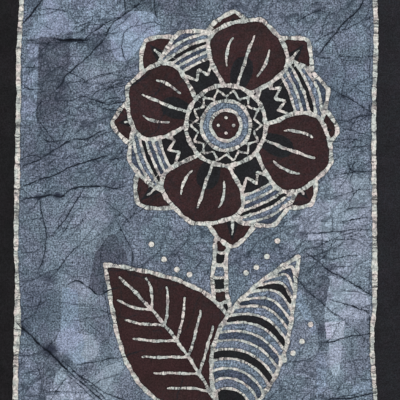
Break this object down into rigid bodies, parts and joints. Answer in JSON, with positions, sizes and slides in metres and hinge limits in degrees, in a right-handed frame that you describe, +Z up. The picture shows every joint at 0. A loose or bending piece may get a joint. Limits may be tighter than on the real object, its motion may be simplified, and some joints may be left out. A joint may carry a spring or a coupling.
{
  "type": "batik wall hanging",
  "caption": "Hung rectangular cotton cloth, wax-resist dyed in blue, dark red and black with cream line work, dark margins and a narrow turned hem.",
  "frame": {"origin": "middle of the top edge, halfway through the hem's thickness, where a wall or a rail holds the cloth", "axes": "+Z up, +X to the right as seen from the front, -Y the way the printed face looks, +Y towards the wall"},
  "size_m": [0.51, 0.012, 0.7222],
  "materials": {
    "dyed_cotton": "matt plain-weave cotton, wax-resist dyed"
  },
  "bodies": {
    "root": {"batik_cloth": "dyed_cotton"}
  },
  "joints": []
}
